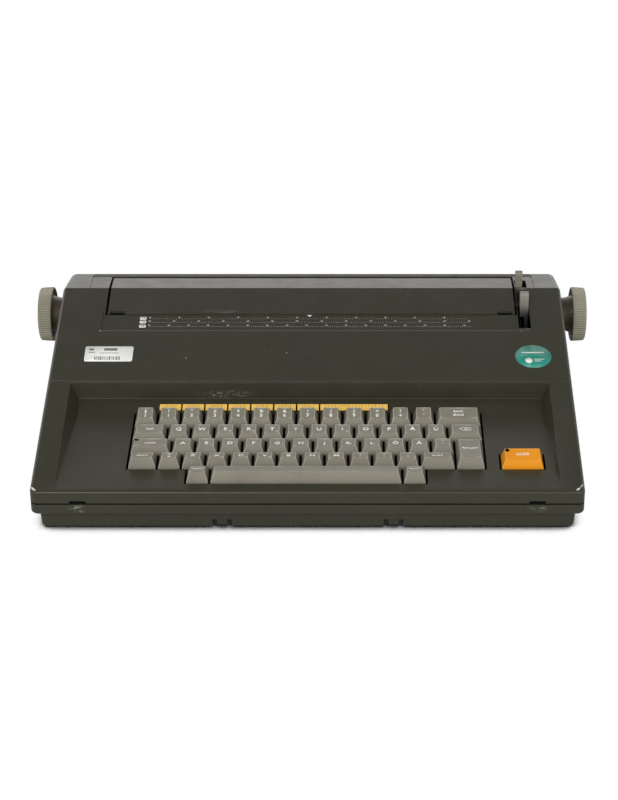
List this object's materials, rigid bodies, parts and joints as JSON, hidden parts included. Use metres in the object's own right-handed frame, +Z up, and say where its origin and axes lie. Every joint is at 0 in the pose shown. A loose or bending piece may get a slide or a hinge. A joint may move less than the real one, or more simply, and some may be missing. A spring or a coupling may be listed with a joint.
{
  "type": "electric typewriter",
  "caption": "Portable electric daisy-wheel typewriter with sloping dark case, grey keys, an orange key, lid and side platen knobs.",
  "frame": {"origin": "on the table under the middle of the overall box, at the undersides of the four feet", "axes": "+Z up, +X to the typist's right along the platen, +Y from the keyboard towards the back"},
  "size_m": [0.486, 0.33, 0.1287],
  "materials": {
    "case": "fine matte texture, dark olive grey",
    "key": "satin, warm grey",
    "code_key": "satin, orange",
    "legend_strip": "printed amber strip",
    "lever": "satin, pale grey",
    "rubber": "matte black",
    "steel": "plated",
    "black_plastic": "satin black",
    "white_plastic": "natural acetal",
    "board": "solder mask",
    "transformer": "varnished laminations"
  },
  "bodies": {
    "machine": {"base_pan": "case", "keyboard_bezel": "case", "top_cover": "case", "legend_strip": "legend_strip", "foot_front_left": "rubber", "foot_front_right": "rubber", "foot_rear_left": "rubber", "foot_rear_right": "rubber", "power_inlet": "black_plastic", "key_switch_plate": "steel", "chassis": "steel", "carriage_rail": "steel", "paper_pan": "steel", "line_feed_motor": "steel", "carriage_motor": "steel", "drive_belt": "rubber", "main_board": "board", "transformer": "transformer"},
    "lid": {"access_lid": "case"},
    "support": {"paper_support": "case"},
    "switch": {"power_switch": "black_plastic"},
    "platen": {"platen_roller": "rubber", "platen_shaft": "steel", "left_knob": "lever", "right_knob": "lever", "platen_gear": "white_plastic"},
    "pinion": {"motor_pinion": "white_plastic"},
    "feed_roller": {"feed_roller_shaft": "rubber"},
    "release_lever": {"paper_release_lever": "lever"},
    "bail": {"paper_bail": "lever"},
    "carriage_assembly": {"carriage": "black_plastic", "wheel_motor": "steel", "ribbon_cassette": "black_plastic"},
    "print_wheel": {"daisy_wheel": "black_plastic"},
    "hammer": {"print_hammer": "steel"},
    "drive_pulley": {"drive_pulley": "white_plastic"},
    "idler_pulley": {"idler_pulley": "white_plastic"},
    "number_keys_1": {"number_keys_1": "key"},
    "number_keys_2": {"number_keys_2": "key"},
    "number_keys_3": {"number_keys_3": "key"},
    "letter_top_keys_1": {"letter_top_keys_1": "key"},
    "letter_top_keys_2": {"letter_top_keys_2": "key"},
    "letter_top_keys_3": {"letter_top_keys_3": "key"},
    "letter_home_keys_1": {"letter_home_keys_1": "key"},
    "letter_home_keys_2": {"letter_home_keys_2": "key"},
    "letter_home_keys_3": {"letter_home_keys_3": "key"},
    "letter_low_keys_1": {"letter_low_keys_1": "key"},
    "letter_low_keys_2": {"letter_low_keys_2": "key"},
    "letter_low_keys_3": {"letter_low_keys_3": "key"},
    "backspace_key": {"backspace_key": "key"},
    "tab_key": {"tab_key": "key"},
    "correction_key": {"correction_key": "key"},
    "lock_key": {"lock_key": "key"},
    "return_key": {"return_key": "key"},
    "left_shift_key": {"left_shift_key": "key"},
    "right_shift_key": {"right_shift_key": "key"},
    "repeat_key": {"repeat_key": "key"},
    "space_bar": {"space_bar": "key"},
    "relocate_key": {"relocate_key": "key"},
    "code_key": {"code_key": "code_key"}
  },
  "joints": [
    {"name": "lid_hinge", "type": "hinge", "parent": "machine", "child": "lid", "pos_m": [0, 0.092, 0.111], "axis": [-1, 0, 0], "range_deg": [0, 85]},
    {"name": "paper_support_hinge", "type": "hinge", "parent": "machine", "child": "support", "pos_m": [0, 0.1375, 0.08874], "axis": [-1, 0, 0], "range_deg": [0, 75]},
    {"name": "power_switch_rock", "type": "hinge", "parent": "machine", "child": "switch", "pos_m": [0.152, 0.161, 0.046], "axis": [1, 0, 0], "range_deg": [-8, 8]},
    {"name": "platen_spin", "type": "hinge", "parent": "machine", "child": "platen", "pos_m": [0, 0.0948, 0.0794], "axis": [1, 0, 0], "continuous": true},
    {"name": "pinion_spin", "type": "hinge", "parent": "machine", "child": "pinion", "pos_m": [-0.188, 0.11746, 0.06883], "axis": [1, 0, 0], "continuous": true},
    {"name": "feed_roller_spin", "type": "hinge", "parent": "machine", "child": "feed_roller", "pos_m": [0, 0.0948, 0.0576], "axis": [1, 0, 0], "continuous": true},
    {"name": "paper_release", "type": "hinge", "parent": "machine", "child": "release_lever", "pos_m": [0.1862, 0.043, 0.066], "axis": [1, 0, 0], "range_deg": [0, 20]},
    {"name": "paper_bail_swing", "type": "hinge", "parent": "machine", "child": "bail", "pos_m": [0, 0.081, 0.068], "axis": [-1, 0, 0], "range_deg": [0, 11]},
    {"name": "carriage_slide", "type": "slide", "parent": "machine", "child": "carriage_assembly", "axis": [1, 0, 0], "range_m": [-0.11, 0.11]},
    {"name": "print_wheel_spin", "type": "hinge", "parent": "carriage_assembly", "child": "print_wheel", "pos_m": [0, 0.072, 0.0504], "axis": [0, 1, 0], "continuous": true},
    {"name": "hammer_strike", "type": "slide", "parent": "carriage_assembly", "child": "hammer", "axis": [0, 1, 0], "range_m": [0, 0.0015], "stiffness_N_per_m": 60, "springref_m": -0.002},
    {"name": "drive_pulley_spin", "type": "hinge", "parent": "machine", "child": "drive_pulley", "pos_m": [-0.163, 0.0235, 0.0315], "axis": [0, 1, 0], "continuous": true},
    {"name": "idler_pulley_spin", "type": "hinge", "parent": "machine", "child": "idler_pulley", "pos_m": [0.163, 0.0235, 0.0315], "axis": [0, 1, 0], "continuous": true},
    {"name": "number_keys_1_press", "type": "slide", "parent": "machine", "child": "number_keys_1", "axis": [0, 0.165, -0.9863], "range_m": [0, 0.0035], "stiffness_N_per_m": 150, "springref_m": -0.003},
    {"name": "number_keys_2_press", "type": "slide", "parent": "machine", "child": "number_keys_2", "axis": [0, 0.165, -0.9863], "range_m": [0, 0.0035], "stiffness_N_per_m": 150, "springref_m": -0.003},
    {"name": "number_keys_3_press", "type": "slide", "parent": "machine", "child": "number_keys_3", "axis": [0, 0.165, -0.9863], "range_m": [0, 0.0035], "stiffness_N_per_m": 150, "springref_m": -0.003},
    {"name": "letter_top_keys_1_press", "type": "slide", "parent": "machine", "child": "letter_top_keys_1", "axis": [0, 0.165, -0.9863], "range_m": [0, 0.0035], "stiffness_N_per_m": 150, "springref_m": -0.003},
    {"name": "letter_top_keys_2_press", "type": "slide", "parent": "machine", "child": "letter_top_keys_2", "axis": [0, 0.165, -0.9863], "range_m": [0, 0.0035], "stiffness_N_per_m": 150, "springref_m": -0.003},
    {"name": "letter_top_keys_3_press", "type": "slide", "parent": "machine", "child": "letter_top_keys_3", "axis": [0, 0.165, -0.9863], "range_m": [0, 0.0035], "stiffness_N_per_m": 150, "springref_m": -0.003},
    {"name": "letter_home_keys_1_press", "type": "slide", "parent": "machine", "child": "letter_home_keys_1", "axis": [0, 0.165, -0.9863], "range_m": [0, 0.0035], "stiffness_N_per_m": 150, "springref_m": -0.003},
    {"name": "letter_home_keys_2_press", "type": "slide", "parent": "machine", "child": "letter_home_keys_2", "axis": [0, 0.165, -0.9863], "range_m": [0, 0.0035], "stiffness_N_per_m": 150, "springref_m": -0.003},
    {"name": "letter_home_keys_3_press", "type": "slide", "parent": "machine", "child": "letter_home_keys_3", "axis": [0, 0.165, -0.9863], "range_m": [0, 0.0035], "stiffness_N_per_m": 150, "springref_m": -0.003},
    {"name": "letter_low_keys_1_press", "type": "slide", "parent": "machine", "child": "letter_low_keys_1", "axis": [0, 0.165, -0.9863], "range_m": [0, 0.0035], "stiffness_N_per_m": 150, "springref_m": -0.003},
    {"name": "letter_low_keys_2_press", "type": "slide", "parent": "machine", "child": "letter_low_keys_2", "axis": [0, 0.165, -0.9863], "range_m": [0, 0.0035], "stiffness_N_per_m": 150, "springref_m": -0.003},
    {"name": "letter_low_keys_3_press", "type": "slide", "parent": "machine", "child": "letter_low_keys_3", "axis": [0, 0.165, -0.9863], "range_m": [0, 0.0035], "stiffness_N_per_m": 150, "springref_m": -0.003},
    {"name": "backspace_key_press", "type": "slide", "parent": "machine", "child": "backspace_key", "axis": [0, 0.165, -0.9863], "range_m": [0, 0.0035], "stiffness_N_per_m": 150, "springref_m": -0.003},
    {"name": "tab_key_press", "type": "slide", "parent": "machine", "child": "tab_key", "axis": [0, 0.165, -0.9863], "range_m": [0, 0.0035], "stiffness_N_per_m": 150, "springref_m": -0.003},
    {"name": "correction_key_press", "type": "slide", "parent": "machine", "child": "correction_key", "axis": [0, 0.165, -0.9863], "range_m": [0, 0.0035], "stiffness_N_per_m": 150, "springref_m": -0.003},
    {"name": "lock_key_press", "type": "slide", "parent": "machine", "child": "lock_key", "axis": [0, 0.165, -0.9863], "range_m": [0, 0.0035], "stiffness_N_per_m": 150, "springref_m": -0.003},
    {"name": "return_key_press", "type": "slide", "parent": "machine", "child": "return_key", "axis": [0, 0.165, -0.9863], "range_m": [0, 0.0035], "stiffness_N_per_m": 150, "springref_m": -0.003},
    {"name": "left_shift_key_press", "type": "slide", "parent": "machine", "child": "left_shift_key", "axis": [0, 0.165, -0.9863], "range_m": [0, 0.0035], "stiffness_N_per_m": 150, "springref_m": -0.003},
    {"name": "right_shift_key_press", "type": "slide", "parent": "machine", "child": "right_shift_key", "axis": [0, 0.165, -0.9863], "range_m": [0, 0.0035], "stiffness_N_per_m": 150, "springref_m": -0.003},
    {"name": "repeat_key_press", "type": "slide", "parent": "machine", "child": "repeat_key", "axis": [0, 0.165, -0.9863], "range_m": [0, 0.0035], "stiffness_N_per_m": 150, "springref_m": -0.003},
    {"name": "space_bar_press", "type": "slide", "parent": "machine", "child": "space_bar", "axis": [0, 0.165, -0.9863], "range_m": [0, 0.0035], "stiffness_N_per_m": 150, "springref_m": -0.003},
    {"name": "relocate_key_press", "type": "slide", "parent": "machine", "child": "relocate_key", "axis": [0, 0.165, -0.9863], "range_m": [0, 0.0035], "stiffness_N_per_m": 150, "springref_m": -0.003},
    {"name": "code_key_press", "type": "slide", "parent": "machine", "child": "code_key", "axis": [0, 0.165, -0.9863], "range_m": [0, 0.0035], "stiffness_N_per_m": 150, "springref_m": -0.003}
  ],
  "couplings": [
    {"joint": "pinion_spin", "follows": "platen_spin", "ratio": -4},
    {"joint": "feed_roller_spin", "follows": "platen_spin", "ratio": -3.3},
    {"joint": "drive_pulley_spin", "follows": "carriage_slide", "rad_per_m": 144.93},
    {"joint": "idler_pulley_spin", "follows": "carriage_slide", "rad_per_m": 144.93}
  ]
}
